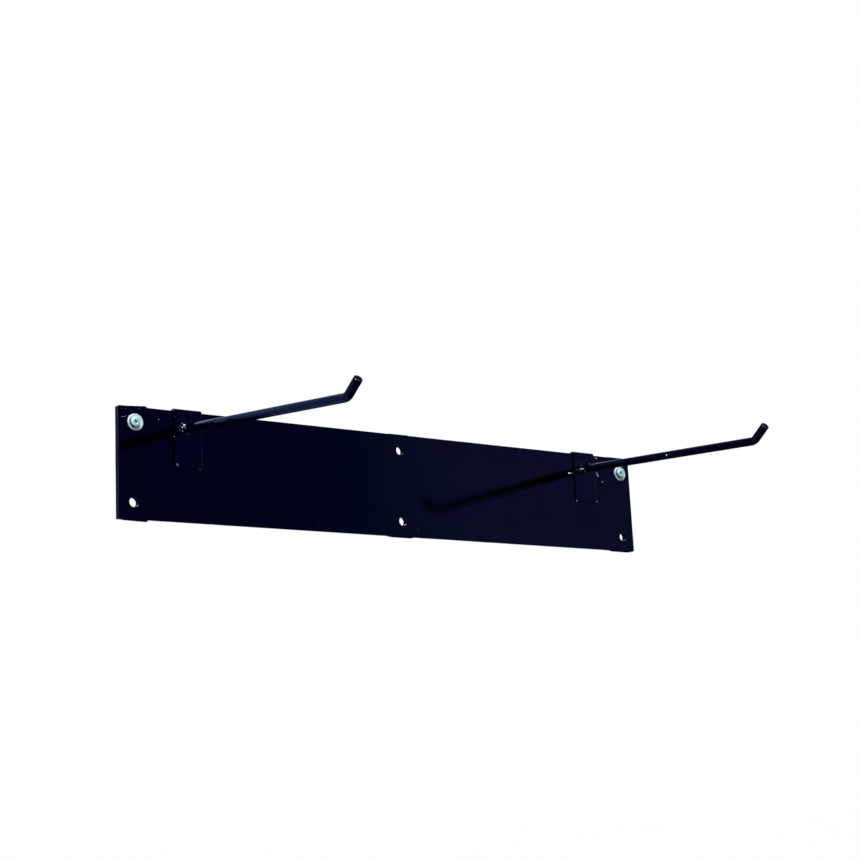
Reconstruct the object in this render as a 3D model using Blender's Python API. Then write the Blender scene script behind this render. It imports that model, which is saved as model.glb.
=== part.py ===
"""Wall rack with two hook-over arms.

A flat steel rail stands off the wall on three short spacers, which leaves a gap behind it.
Two hooks hang over the rail's top edge, each a folded strip (saddle) with a round arm welded
to its face, and slide along the rail between the spacers.

Frame: origin on the wall plane, in the middle of the centre spacer's back face.
+X runs along the rail, to the right as seen from the room. +Y points into the wall. +Z is up.
All dimensions are in metres.
"""

import math

import bmesh
import bpy
from mathutils import Matrix, Vector

# ---------------------------------------------------------------- driving dimensions
GAP = 0.0003  # running or joint gap kept between pieces that touch

# rail: a flat bar, 100 x 3 mm, 600 mm long
RAIL_LENGTH = 0.600
RAIL_HEIGHT = 0.100
RAIL_THICKNESS = 0.003
RAIL_CORNER_RADIUS = 0.0012

# spacers: short flat bars behind the rail, at its ends and its middle
SPACER_WIDTH = 0.030
SPACER_THICKNESS = 0.003
SPACER_CORNER_RADIUS = 0.0008

# three columns of two fixing holes
HOLE_DIAMETER = 0.0095
HOLE_COLUMN_X = 0.2855
HOLE_TOP_Z = 0.0345
HOLE_BOTTOM_Z = -0.0350

# weld beads along the seam between spacer and rail
BEAD_LENGTH = 0.024
BEAD_HALF_WIDTH = 0.0022
BEAD_HEIGHT = 0.0014
BEAD_PITCH = 0.0048

# fixing screws, 5 x 30 mm with a low pan head, and their loose washers; each sits off its hole's middle
SCREW_SHANK_DIAMETER = 0.0048
SCREW_LENGTH = 0.030
SCREW_HEAD_DIAMETER = 0.0092
SCREW_HEAD_HEIGHT = 0.0024
SCREW_POINT_LENGTH = 0.006
RECESS_SPAN = 0.0050
RECESS_WIDTH = 0.0013
RECESS_DEPTH = 0.0015
WASHER_DIAMETER = 0.0154
WASHER_BORE = 0.0066
WASHER_THICKNESS = 0.0012
LEFT_WASHER_X, LEFT_WASHER_Z = -0.2841, 0.0357
RIGHT_WASHER_X, RIGHT_WASHER_Z = 0.2864, 0.0330
LEFT_SCREW_X, LEFT_SCREW_Z = -0.2849, 0.0357
RIGHT_SCREW_X, RIGHT_SCREW_Z = 0.2857, 0.0332

# saddle: a strip folded over the rail's top edge
SADDLE_WIDTH = 0.0275
SADDLE_THICKNESS = 0.0020
SADDLE_FRONT_PLAY = 0.0004
SADDLE_REAR_PLAY = 0.0004
SADDLE_FRONT_DROP = 0.0512  # from the rail's top edge to the front leg's lower end
SADDLE_REAR_DROP = 0.0250  # from the rail's top edge to the rear lip's lower end
SADDLE_INNER_RADIUS = 0.0008

# arm: a round rod, straight, then turned up at the tip
ROD_DIAMETER = 0.0078
ROD_BELOW_RAIL_TOP = 0.0163  # its axis, where it meets the saddle
BEND_RADIUS = 0.009
TIP_LENGTH = 0.0196  # beyond the corner of the centre line
TIP_RISE = math.radians(37.0)  # above horizontal
TIP_CHAMFER = 0.0007

# each hook: place along the rail, the arm's offset from the saddle's centre line, and its reach,
# droop and sideways lean as welded
LEFT_HOOK_X = -0.2326
LEFT_ROD_OFFSET = -0.0040
LEFT_REACH = 0.2485
LEFT_DROOP = math.radians(5.74)
LEFT_LEAN = math.radians(1.95)
RIGHT_HOOK_X = 0.2358
RIGHT_ROD_OFFSET = -0.0025
RIGHT_REACH = 0.2452
RIGHT_DROOP = math.radians(4.48)
RIGHT_LEAN = math.radians(-0.92)

# weld bead round each rod's base
ARM_WELD_LEG = 0.0030
ARM_WELD_LOBES = 7

# ---------------------------------------------------------------- derived places
WALL_Y = 0.0
SPACER_FRONT_Y = WALL_Y - SPACER_THICKNESS
RAIL_BACK_Y = SPACER_FRONT_Y - GAP
RAIL_FRONT_Y = RAIL_BACK_Y - RAIL_THICKNESS
RAIL_TOP_Z = RAIL_HEIGHT / 2
SADDLE_INNER_FRONT_Y = RAIL_FRONT_Y - SADDLE_FRONT_PLAY
SADDLE_FRONT_Y = SADDLE_INNER_FRONT_Y - SADDLE_THICKNESS
SADDLE_INNER_REAR_Y = RAIL_BACK_Y + SADDLE_REAR_PLAY
SADDLE_REAR_Y = SADDLE_INNER_REAR_Y + SADDLE_THICKNESS
SADDLE_INNER_TOP_Z = RAIL_TOP_Z + GAP
SADDLE_TOP_Z = SADDLE_INNER_TOP_Z + SADDLE_THICKNESS
SPACER_X = (RAIL_LENGTH - SPACER_WIDTH) / 2


# ---------------------------------------------------------------- scene and materials
def clear_scene():
    for obj in list(bpy.data.objects):
        bpy.data.objects.remove(obj, do_unlink=True)


def principled(name, color, roughness, metallic, coat=0.0):
    material = bpy.data.materials.new(name)
    material.use_nodes = True
    shader = material.node_tree.nodes["Principled BSDF"]
    shader.inputs["Base Color"].default_value = (*color, 1.0)
    shader.inputs["Roughness"].default_value = roughness
    shader.inputs["Metallic"].default_value = metallic
    shader.inputs["Coat Weight"].default_value = coat
    material.diffuse_color = (*color, 1.0)
    return material


def add_empty(name, location, parent=None):
    empty = bpy.data.objects.new(name, None)
    empty.empty_display_size = 0.02
    empty.location = location
    bpy.context.scene.collection.objects.link(empty)
    if parent is not None:
        empty.parent = parent
    return empty


def add_mesh(name, bm, material, parent=None, location=(0, 0, 0), smooth=False):
    bmesh.ops.recalc_face_normals(bm, faces=bm.faces[:])
    mesh = bpy.data.meshes.new(name)
    bm.to_mesh(mesh)
    bm.free()
    return add_object(name, mesh, material, parent, location, smooth)


def add_object(name, mesh, material, parent=None, location=(0, 0, 0), smooth=False):
    obj = bpy.data.objects.new(name, mesh)
    bpy.context.scene.collection.objects.link(obj)
    if smooth:
        mesh.shade_smooth()
        mesh.set_sharp_from_angle(angle=math.radians(40))
    if not mesh.materials:
        mesh.materials.append(material)
    obj.location = location
    if parent is not None:
        obj.parent = parent
    return obj


# ---------------------------------------------------------------- shape helpers
def arc(centre, radius, start, end, steps):
    """Points on a circle, from one angle to another, both ends included."""
    return [
        (
            centre[0] + radius * math.cos(start + (end - start) * i / steps),
            centre[1] + radius * math.sin(start + (end - start) * i / steps),
        )
        for i in range(steps + 1)
    ]


def rounded_rectangle(width, height, radius, steps=4):
    half_w, half_h = width / 2 - radius, height / 2 - radius
    points = []
    for k, (sx, sz) in enumerate(((1, 1), (-1, 1), (-1, -1), (1, -1))):
        start = k * math.pi / 2
        points += arc((sx * half_w, sz * half_h), radius, start, start + math.pi / 2, steps)
    return points


def extrude_outline(points, place, travel):
    """A closed prism: place(a, b) gives an outline point in space, and travel is the way it extrudes."""
    bm = bmesh.new()
    near = [bm.verts.new(place(a, b)) for a, b in points]
    face = bm.faces.new(near)
    moved = bmesh.ops.extrude_face_region(bm, geom=[face])["geom"]
    bmesh.ops.translate(
        bm,
        vec=Vector(travel),
        verts=[v for v in moved if isinstance(v, bmesh.types.BMVert)],
    )
    return bm


def plate(width, height, thickness, front_y, radius, centre_x=0.0):
    """A flat bar standing in the XZ plane, from front_y towards the wall."""
    return extrude_outline(
        rounded_rectangle(width, height, radius),
        lambda a, b: Vector((centre_x + a, front_y, b)),
        (0.0, thickness, 0.0),
    )


def revolve(profile, steps, axis_point):
    """A body turned round a line along Y: profile holds (radius, y) pairs, and the ends lie on the axis or close a ring."""
    bm = bmesh.new()
    closed = profile[0][0] > 0
    rings = []
    for radius, y in profile:
        if radius <= 0:
            rings.append([bm.verts.new(axis_point + Vector((0, y, 0)))])
            continue
        rings.append(
            [
                bm.verts.new(
                    axis_point
                    + Vector(
                        (
                            radius * math.cos(2 * math.pi * i / steps),
                            y,
                            radius * math.sin(2 * math.pi * i / steps),
                        )
                    )
                )
                for i in range(steps)
            ]
        )
    pairs = list(zip(rings, rings[1:]))
    if closed:
        pairs.append((rings[-1], rings[0]))
    for one, two in pairs:
        for i in range(steps):
            j = (i + 1) % steps
            if len(one) == 1:
                bm.faces.new((one[0], two[j], two[i]))
            elif len(two) == 1:
                bm.faces.new((one[i], one[j], two[0]))
            else:
                bm.faces.new((one[i], one[j], two[j], two[i]))
    return bm


def skin_rings(rings, cap=True, wrap=False):
    """Joins rings of points into a tube; cap closes its ends, wrap joins the last ring to the first."""
    bm = bmesh.new()
    made = [[bm.verts.new(p) for p in ring] for ring in rings]
    count = len(made[0])
    pairs = list(zip(made, made[1:]))
    if wrap:
        pairs.append((made[-1], made[0]))
    for one, two in pairs:
        for i in range(count):
            j = (i + 1) % count
            bm.faces.new((one[i], one[j], two[j], two[i]))
    if cap and not wrap:
        bm.faces.new(made[0])
        bm.faces.new(list(reversed(made[-1])))
    return bm


def cutter(name, bm, location=(0, 0, 0), parent=None):
    bmesh.ops.recalc_face_normals(bm, faces=bm.faces[:])
    mesh = bpy.data.meshes.new(name)
    bm.to_mesh(mesh)
    bm.free()
    obj = bpy.data.objects.new(name, mesh)
    bpy.context.scene.collection.objects.link(obj)
    obj.location = location
    obj.hide_render = True
    obj.display_type = "WIRE"
    if parent is not None:
        obj.parent = parent
    return obj


def cut(obj, tool, name):
    modifier = obj.modifiers.new(name, "BOOLEAN")
    modifier.operation = "DIFFERENCE"
    modifier.solver = "EXACT"
    modifier.object = tool


# ---------------------------------------------------------------- the rail and its spacers
def hole_cutter(name, x, z, parent):
    """A cylinder along Y, longer than the rail and a spacer together."""
    reach = RAIL_THICKNESS + SPACER_THICKNESS
    profile = [
        (0.0, -reach),
        (HOLE_DIAMETER / 2, -reach),
        (HOLE_DIAMETER / 2, reach),
        (0.0, reach),
    ]
    return cutter(
        name, revolve(profile, 32, Vector((0, 0, 0))), (x, RAIL_BACK_Y, z), parent
    )


def make_rail(parent, paint):
    columns = {"left": -HOLE_COLUMN_X, "centre": 0.0, "right": HOLE_COLUMN_X}
    rows = {"top": HOLE_TOP_Z, "bottom": HOLE_BOTTOM_Z}
    tools = {
        (column, row): hole_cutter(f"{column}_{row}_hole_cutter", x, z, parent)
        for column, x in columns.items()
        for row, z in rows.items()
    }
    rail = add_mesh(
        "rail_plate",
        plate(RAIL_LENGTH, RAIL_HEIGHT, RAIL_THICKNESS, RAIL_FRONT_Y, RAIL_CORNER_RADIUS),
        paint,
        parent,
    )
    for (column, row), tool in tools.items():
        cut(rail, tool, f"{column}_{row}_hole")
    for column, x in (("left", -SPACER_X), ("centre", 0.0), ("right", SPACER_X)):
        spacer = add_mesh(
            f"{column}_spacer",
            plate(
                SPACER_WIDTH,
                RAIL_HEIGHT,
                SPACER_THICKNESS,
                SPACER_FRONT_Y,
                SPACER_CORNER_RADIUS,
                x,
            ),
            paint,
            parent,
        )
        for row in rows:
            cut(spacer, tools[(column, row)], f"{row}_hole")


def bead_mesh(length, side):
    """A scalloped weld bead along X, flat where it lies over the seam; side is +1 above the rail and -1 below it."""
    stations = int(round(length / BEAD_PITCH)) * 4
    around = 6
    rings = []
    for i in range(stations + 1):
        t = i / stations
        x = (t - 0.5) * length
        # each weld pool is a lobe, and the run tapers at both ends
        lobe = abs(math.sin(math.pi * (x + length / 2) / BEAD_PITCH))
        taper = math.sqrt(max(0.0, 1 - (2 * t - 1) ** 8)) * 0.85 + 0.15
        height = BEAD_HEIGHT * (0.72 + 0.28 * lobe) * taper
        half = BEAD_HALF_WIDTH * (0.82 + 0.18 * lobe) * taper
        rings.append(
            [
                Vector(
                    (
                        x,
                        -half * math.cos(math.pi * k / around),
                        side * height * math.sin(math.pi * k / around),
                    )
                )
                for k in range(around + 1)
            ]
        )
    return skin_rings(rings)


def make_beads(parent, paint):
    seam_y = SPACER_FRONT_Y - GAP / 2
    inset = (SPACER_WIDTH - BEAD_LENGTH) / 2 - 0.0015
    places = {
        "left": -SPACER_X + inset,
        "centre": 0.0,
        "right": SPACER_X - inset,
    }
    for row, side in (("top", 1), ("bottom", -1)):
        for column, x in places.items():
            add_mesh(
                f"{column}_{row}_weld",
                bead_mesh(BEAD_LENGTH, side),
                paint,
                parent,
                (x, seam_y, side * (RAIL_TOP_Z + GAP)),
                smooth=True,
            )


# ---------------------------------------------------------------- fixings
def make_fixings(parent, zinc):
    washer_back = RAIL_FRONT_Y - GAP
    washer_front = washer_back - WASHER_THICKNESS
    head_back = washer_front - GAP
    outer, bore, lip = WASHER_DIAMETER / 2, WASHER_BORE / 2, 0.0002
    washer_profile = [
        (bore, washer_back),
        (outer - lip, washer_back),
        (outer, washer_back - lip),
        (outer, washer_front + lip),
        (outer - lip, washer_front),
        (bore + lip, washer_front),
        (bore, washer_front + lip),
    ]
    washer = None
    radius, shank = SCREW_HEAD_DIAMETER / 2, SCREW_SHANK_DIAMETER / 2
    tip = head_back + SCREW_LENGTH
    # pan head: a short straight side, then a dome with a flat middle
    head_profile = [(0.0, head_back - SCREW_HEAD_HEIGHT)]
    steps = 7
    for i in range(steps + 1):
        angle = math.pi / 2 * (1 - i / steps)
        head_profile.append(
            (
                radius * (0.42 + 0.58 * math.cos(angle)),
                head_back - 0.0010 - (SCREW_HEAD_HEIGHT - 0.0010) * math.sin(angle),
            )
        )
    head_profile += [
        (radius, head_back),
        (shank, head_back),
        (shank, tip - SCREW_POINT_LENGTH),
        (0.0004, tip - 0.0003),
        (0.0, tip),
    ]
    screw = None
    for column, washer_place, place in (
        ("left", (LEFT_WASHER_X, 0.0, LEFT_WASHER_Z), (LEFT_SCREW_X, 0.0, LEFT_SCREW_Z)),
        ("right", (RIGHT_WASHER_X, 0.0, RIGHT_WASHER_Z), (RIGHT_SCREW_X, 0.0, RIGHT_SCREW_Z)),
    ):
        if washer is None:
            piece = add_mesh(
                f"{column}_washer",
                revolve(washer_profile, 36, Vector((0, 0, 0))),
                zinc,
                parent,
                washer_place,
                smooth=True,
            )
            washer = piece.data
            piece = add_mesh(
                f"{column}_screw",
                revolve(head_profile, 28, Vector((0, 0, 0))),
                zinc,
                parent,
                place,
                smooth=True,
            )
            screw = piece.data
        else:
            add_object(f"{column}_washer", washer, zinc, parent, washer_place)
            piece = add_object(f"{column}_screw", screw, zinc, parent, place)
        cut(piece, recess_cutter(f"{column}_recess_cutter", place, head_back, parent), "cross_recess")


def recess_cutter(name, place, head_back, parent):
    """A plus-shaped prism that reaches from outside the head to the recess's depth, narrower at its bottom."""
    top = head_back - SCREW_HEAD_HEIGHT - 0.0005
    bottom = head_back - SCREW_HEAD_HEIGHT + RECESS_DEPTH
    wide, span = RECESS_WIDTH / 2, RECESS_SPAN / 2

    def plus(scale):
        a, b = wide * scale, span * scale
        return [
            (b, a), (a, a), (a, b), (-a, b), (-a, a), (-b, a),
            (-b, -a), (-a, -a), (-a, -b), (a, -b), (a, -a), (b, -a),
        ]  # fmt: skip

    rings = [
        [Vector((p, top, q)) for p, q in plus(1.0)],
        [Vector((p, bottom, q)) for p, q in plus(0.7)],
    ]
    return cutter(name, skin_rings(rings), place, parent)


# ---------------------------------------------------------------- the hooks
def saddle_mesh():
    """The folded strip: its cross-section in the YZ plane, drawn round the rail's top edge, extruded along X. Local origin on the rail's top front edge."""
    y0, z0 = RAIL_FRONT_Y, RAIL_TOP_Z
    front, front_in = SADDLE_FRONT_Y - y0, SADDLE_INNER_FRONT_Y - y0
    rear, rear_in = SADDLE_REAR_Y - y0, SADDLE_INNER_REAR_Y - y0
    top, top_in = SADDLE_TOP_Z - z0, SADDLE_INNER_TOP_Z - z0
    inner = SADDLE_INNER_RADIUS
    outer = inner + SADDLE_THICKNESS
    outline = [(front, -SADDLE_FRONT_DROP)]
    outline += arc((front + outer, top - outer), outer, math.pi, math.pi / 2, 8)
    outline += arc((rear - outer, top - outer), outer, math.pi / 2, 0.0, 8)
    outline += [(rear, -SADDLE_REAR_DROP), (rear_in, -SADDLE_REAR_DROP)]
    outline += arc((rear_in - inner, top_in - inner), inner, 0.0, math.pi / 2, 4)
    outline += arc((front_in + inner, top_in - inner), inner, math.pi / 2, math.pi, 4)
    outline += [(front_in, -SADDLE_FRONT_DROP)]
    return extrude_outline(
        outline,
        lambda a, b: Vector((-SADDLE_WIDTH / 2, a, b)),
        (SADDLE_WIDTH, 0.0, 0.0),
    )


def arm_axes(droop, lean):
    """The arm's direction, and two directions square to it: sideways and up."""
    along = Vector(
        (
            math.sin(lean) * math.cos(droop),
            -math.cos(lean) * math.cos(droop),
            -math.sin(droop),
        )
    )
    side = along.cross(Vector((0, 0, 1))).normalized()
    return along, side, side.cross(along).normalized()


def on_saddle(point, along, face_y):
    """Moves a point along the arm until it lies on the plane just in front of the saddle."""
    return point + along * ((face_y - point.y) / along.y)


def arm_mesh(offset, reach, droop, lean):
    """A round rod swept along its centre line, from the saddle's face. Local origin as the saddle's."""
    sides = 24
    radius = ROD_DIAMETER / 2
    face_y = SADDLE_FRONT_Y - GAP - RAIL_FRONT_Y
    along, side, up = arm_axes(droop, lean)
    base = Vector((offset, face_y, -ROD_BELOW_RAIL_TOP))
    corner = base + along * reach
    turn = TIP_RISE + droop
    cut_back = BEND_RADIUS * math.tan(turn / 2)
    centre = corner - along * cut_back + up * BEND_RADIUS

    def ring(middle, direction, r):
        above = side.cross(direction).normalized()
        return [
            middle
            + r * math.cos(2 * math.pi * k / sides) * side
            + r * math.sin(2 * math.pi * k / sides) * above
            for k in range(sides)
        ]

    rings = [[on_saddle(p, along, face_y) for p in ring(base, along, radius)]]
    bend_steps = 8
    for i in range(bend_steps + 1):
        turn_matrix = Matrix.Rotation(turn * i / bend_steps, 3, side)
        rings.append(
            ring(centre - turn_matrix @ (up * BEND_RADIUS), turn_matrix @ along, radius)
        )
    tip_direction = Matrix.Rotation(turn, 3, side) @ along
    end = corner + tip_direction * TIP_LENGTH
    rings.append(ring(end - tip_direction * TIP_CHAMFER, tip_direction, radius))
    rings.append(ring(end, tip_direction, radius - TIP_CHAMFER))
    return skin_rings(rings)


def arm_weld_mesh(offset, droop, lean):
    """A lobed fillet bead round the rod's base, clear of the rod and of the saddle by the joint gap."""
    around, inner = 42, ROD_DIAMETER / 2 + GAP
    face_y = SADDLE_FRONT_Y - GAP - RAIL_FRONT_Y
    along, side, up = arm_axes(droop, lean)
    base = Vector((offset, face_y, -ROD_BELOW_RAIL_TOP))
    rings = []
    for k in range(around):
        angle = 2 * math.pi * k / around
        out = side * math.cos(angle) + up * math.sin(angle)
        lobe = abs(math.sin(ARM_WELD_LOBES * angle / 2))
        leg = ARM_WELD_LEG * (0.78 + 0.22 * lobe)
        # section from the rod's side to the saddle's face, bulging outwards
        section = [(inner, 0.0), (inner, leg)]
        for i in (1, 2, 3):
            phi = math.pi / 2 * i / 4
            section.append((inner + leg * math.sin(phi), leg * math.cos(phi)))
        section.append((inner + leg, 0.0))
        rings.append(
            [on_saddle(base + out * r, along, face_y) + along * h for r, h in section]
        )
    return skin_rings(rings, wrap=True)


def make_hook(name, x, arm, root, paint, saddle):
    """A hook's pieces share an empty on the line that it slides along: the rail's top front edge."""
    seat = add_empty(f"{name}_slide", (x, RAIL_FRONT_Y, RAIL_TOP_Z), root)
    if saddle is None:
        saddle = add_mesh(f"{name}_saddle", saddle_mesh(), paint, seat, smooth=True).data
    else:
        add_object(f"{name}_saddle", saddle, paint, seat)
    offset, reach, droop, lean = arm
    add_mesh(f"{name}_arm", arm_mesh(offset, reach, droop, lean), paint, seat, smooth=True)
    add_mesh(f"{name}_arm_weld", arm_weld_mesh(offset, droop, lean), paint, seat, smooth=True)
    return saddle


def main():
    clear_scene()
    rail_paint = principled("rail_paint", (0.004, 0.005, 0.016), 0.22, 0.0, 0.5)
    hook_paint = principled("hook_paint", (0.003, 0.003, 0.010), 0.25, 0.0, 0.4)
    zinc = principled("zinc_plate", (0.62, 0.68, 0.66), 0.35, 1.0)
    root = add_empty("rack_frame", (0.0, 0.0, 0.0))
    make_rail(root, rail_paint)
    make_beads(root, rail_paint)
    make_fixings(root, zinc)
    left_arm = (LEFT_ROD_OFFSET, LEFT_REACH, LEFT_DROOP, LEFT_LEAN)
    right_arm = (RIGHT_ROD_OFFSET, RIGHT_REACH, RIGHT_DROOP, RIGHT_LEAN)
    saddle = make_hook("left", LEFT_HOOK_X, left_arm, root, hook_paint, None)
    make_hook("right", RIGHT_HOOK_X, right_arm, root, hook_paint, saddle)
    bpy.context.view_layer.update()


main()
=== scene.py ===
import math
import random

import bmesh
import bpy
from mathutils import Matrix, Vector, noise


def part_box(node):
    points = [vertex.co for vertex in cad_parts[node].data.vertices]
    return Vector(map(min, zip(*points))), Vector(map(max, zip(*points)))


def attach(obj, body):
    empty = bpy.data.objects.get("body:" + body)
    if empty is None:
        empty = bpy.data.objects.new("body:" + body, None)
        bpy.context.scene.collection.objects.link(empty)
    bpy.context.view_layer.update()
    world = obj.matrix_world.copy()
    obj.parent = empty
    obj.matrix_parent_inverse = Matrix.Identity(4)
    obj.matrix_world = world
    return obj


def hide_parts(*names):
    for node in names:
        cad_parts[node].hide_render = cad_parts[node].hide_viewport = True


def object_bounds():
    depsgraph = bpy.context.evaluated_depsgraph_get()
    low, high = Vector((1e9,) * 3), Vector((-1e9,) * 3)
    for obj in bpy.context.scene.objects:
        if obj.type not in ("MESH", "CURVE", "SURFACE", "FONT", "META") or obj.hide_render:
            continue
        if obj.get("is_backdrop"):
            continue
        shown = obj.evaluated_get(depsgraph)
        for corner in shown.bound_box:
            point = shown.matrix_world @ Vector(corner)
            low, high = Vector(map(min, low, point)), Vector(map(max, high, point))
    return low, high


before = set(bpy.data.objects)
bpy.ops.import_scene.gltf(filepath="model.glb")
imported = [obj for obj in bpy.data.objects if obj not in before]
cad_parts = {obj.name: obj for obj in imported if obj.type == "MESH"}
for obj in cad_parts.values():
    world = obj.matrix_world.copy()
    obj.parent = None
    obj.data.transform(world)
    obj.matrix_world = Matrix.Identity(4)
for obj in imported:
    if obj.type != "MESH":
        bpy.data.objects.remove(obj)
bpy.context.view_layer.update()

MM = 0.001
SCENE = bpy.context.scene
SCENE.view_settings.view_transform = "Standard"
SCENE.view_settings.look = "None"


# ---------------------------------------------------------------- camera
# The viewing angle: from the lower left, looking slightly up along the rail.
CAM_PLACE = Vector((-0.9565, -1.3342, -0.3050))
CAM_YAW, CAM_PITCH, CAM_ROLL = (math.radians(a) for a in (36.812, 12.355, -2.782))
CAM_LENS = 72.085


def make_camera():
    forward = Vector(
        (
            math.sin(CAM_YAW) * math.cos(CAM_PITCH),
            math.cos(CAM_YAW) * math.cos(CAM_PITCH),
            math.sin(CAM_PITCH),
        )
    )
    right = Vector((math.cos(CAM_YAW), -math.sin(CAM_YAW), 0))
    up = right.cross(forward)
    x_axis = math.cos(CAM_ROLL) * right + math.sin(CAM_ROLL) * up
    y_axis = -math.sin(CAM_ROLL) * right + math.cos(CAM_ROLL) * up
    data = bpy.data.cameras.new("photo_camera")
    data.sensor_fit = "HORIZONTAL"
    data.sensor_width = 36.0
    data.lens = CAM_LENS
    data.clip_start, data.clip_end = 0.01, 100.0
    camera = bpy.data.objects.new("photo_camera", data)
    SCENE.collection.objects.link(camera)
    turn = Matrix((x_axis, y_axis, -forward)).transposed()
    camera.matrix_world = Matrix.Translation(CAM_PLACE) @ turn.to_4x4()
    SCENE.camera = camera


make_camera()


# ---------------------------------------------------------------- node helpers
class Nodes:
    """A short way to write a node tree: every method adds a node and returns its output socket."""

    def __init__(self, material):
        material.use_nodes = True
        self.tree = material.node_tree
        self.tree.nodes.clear()

    def add(self, kind, inputs=(), out=0, **settings):
        node = self.tree.nodes.new(kind)
        for name, value in settings.items():
            setattr(node, name, value)
        for key, value in dict(inputs).items():
            socket = node.inputs[key]
            if isinstance(value, bpy.types.NodeSocket):
                self.tree.links.new(value, socket)
            elif isinstance(value, (tuple, list)) and len(value) == 3 and socket.type == "RGBA":
                socket.default_value = (*value, 1.0)
            else:
                socket.default_value = value
        return node.outputs[out] if len(node.outputs) else None

    def math(self, operation, a, b=0.0, c=0.0, clamp=False):
        return self.add(
            "ShaderNodeMath", {0: a, 1: b, 2: c}, operation=operation, use_clamp=clamp
        )

    def vec(self, operation, a, b=(0.0, 0.0, 0.0), out=0):
        return self.add("ShaderNodeVectorMath", {0: a, 1: b}, out=out, operation=operation)

    def place(self):
        """The point in the object's own space, in metres."""
        return self.add("ShaderNodeTexCoord", out="Object")

    def stretch(self, vector, scale):
        return self.add("ShaderNodeMapping", {"Vector": vector, "Scale": scale})

    def noise(self, vector, scale, detail=3.0, rough=0.5, distort=0.0, out="Fac"):
        return self.add(
            "ShaderNodeTexNoise",
            {
                "Vector": vector,
                "Scale": scale,
                "Detail": detail,
                "Roughness": rough,
                "Distortion": distort,
            },
            out=out,
        )

    def ramp(self, value, *stops, interpolation="LINEAR"):
        node = self.tree.nodes.new("ShaderNodeValToRGB")
        node.color_ramp.interpolation = interpolation
        elements = node.color_ramp.elements
        while len(elements) < len(stops):
            elements.new(0.5)
        for element, (position, color) in zip(elements, sorted(stops, key=lambda s: s[0])):
            element.position = position
            if not isinstance(color, (tuple, list)):
                color = (color, color, color)
            element.color = (*color, 1.0)
        self.tree.links.new(value, node.inputs["Fac"])
        return node.outputs["Color"]

    def span(self, value, low, high, to_low=0.0, to_high=1.0):
        return self.add(
            "ShaderNodeMapRange",
            {
                "Value": value,
                "From Min": low,
                "From Max": high,
                "To Min": to_low,
                "To Max": to_high,
            },
        )

    def mix(self, factor, a, b):
        node = self.tree.nodes.new("ShaderNodeMix")
        node.data_type = "RGBA"
        for socket, value in (
            (node.inputs[0], factor),
            (node.inputs[6], a),
            (node.inputs[7], b),
        ):
            if isinstance(value, bpy.types.NodeSocket):
                self.tree.links.new(value, socket)
            elif isinstance(value, (tuple, list)):
                socket.default_value = (*value, 1.0)
            else:
                socket.default_value = value
        return node.outputs[2]

    def blend(self, factor, a, b):
        node = self.tree.nodes.new("ShaderNodeMix")
        node.data_type = "FLOAT"
        for index, value in ((0, factor), (2, a), (3, b)):
            if isinstance(value, bpy.types.NodeSocket):
                self.tree.links.new(value, node.inputs[index])
            else:
                node.inputs[index].default_value = value
        return node.outputs[0]

    def bump(self, height, distance, strength=1.0, normal=None):
        inputs = {"Height": height, "Distance": distance, "Strength": strength}
        if normal is not None:
            inputs["Normal"] = normal
        return self.add("ShaderNodeBump", inputs)

    def finish(self, **inputs):
        shader = self.add(
            "ShaderNodeBsdfPrincipled",
            {k.replace("_", " "): v for k, v in inputs.items()},
            out="BSDF",
        )
        self.add("ShaderNodeOutputMaterial", {"Surface": shader})


def new_material(name):
    return bpy.data.materials.new(name)


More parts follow.
